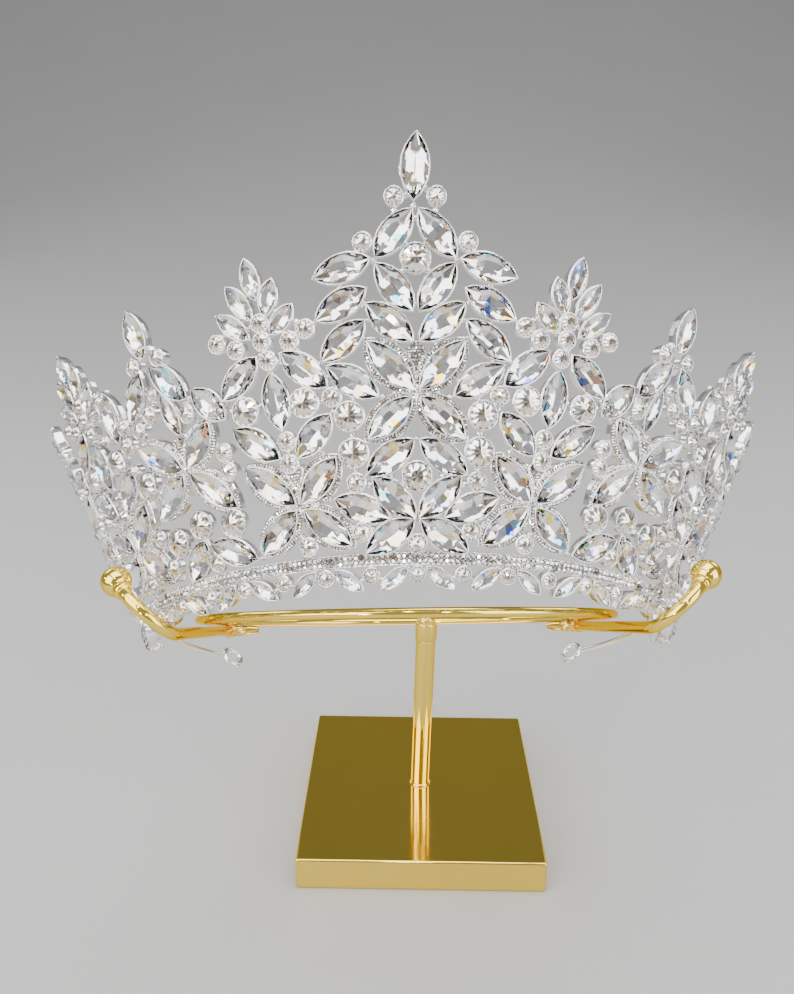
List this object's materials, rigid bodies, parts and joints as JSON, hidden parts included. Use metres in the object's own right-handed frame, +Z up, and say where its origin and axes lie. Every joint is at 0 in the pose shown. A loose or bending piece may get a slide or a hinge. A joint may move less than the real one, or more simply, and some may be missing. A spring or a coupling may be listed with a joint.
{
  "type": "crystal crown on display stand",
  "caption": "Tall openwork crown of cut crystals in silver settings, flaring upwards, held tilted by the hooked ring of a square-based gold display stand.",
  "frame": {"origin": "centre of the underside of the stand's base plate", "axes": "+Z up, -Y towards the front of the crown, +X to the right as seen from the front"},
  "size_m": [0.1982, 0.1545, 0.2375],
  "materials": {
    "gold": "mirror-polished gold plate",
    "silver": "bright rhodium-plated settings",
    "crystal": "clear faceted crystal with foiled backs"
  },
  "bodies": {
    "root": {"stand_base": "gold", "stand_rack": "gold", "crown_frame": "silver", "apex_stone": "crystal", "upper_stone": "crystal", "lower_stone": "crystal", "heart_petal_1": "crystal", "heart_petal_2": "crystal", "heart_petal_3": "crystal", "heart_petal_4": "crystal", "fan_left_petal_1": "crystal", "fan_left_petal_2": "crystal", "fan_left_petal_3": "crystal", "fan_left_petal_4": "crystal", "fan_right_petal_1": "crystal", "fan_right_petal_2": "crystal", "fan_right_petal_3": "crystal", "fan_right_petal_4": "crystal", "crest_left_petal_1": "crystal", "crest_left_petal_2": "crystal", "crest_left_petal_3": "crystal", "crest_left_petal_4": "crystal", "crest_right_petal_1": "crystal", "crest_right_petal_2": "crystal", "crest_right_petal_3": "crystal", "crest_right_petal_4": "crystal", "crest_tip_left": "crystal", "crest_tip_right": "crystal", "heart_leaves": "crystal", "heart_rounds": "crystal", "fan_stones_left": "crystal", "fan_stones_right": "crystal", "crest_stones_left": "crystal", "crest_stones_right": "crystal", "side_fan_stones_left": "crystal", "side_fan_stones_right": "crystal", "side_crest_stones_left": "crystal", "side_crest_stones_right": "crystal", "fringe_stones_left": "crystal", "fringe_stones_right": "crystal"}
  },
  "joints": []
}
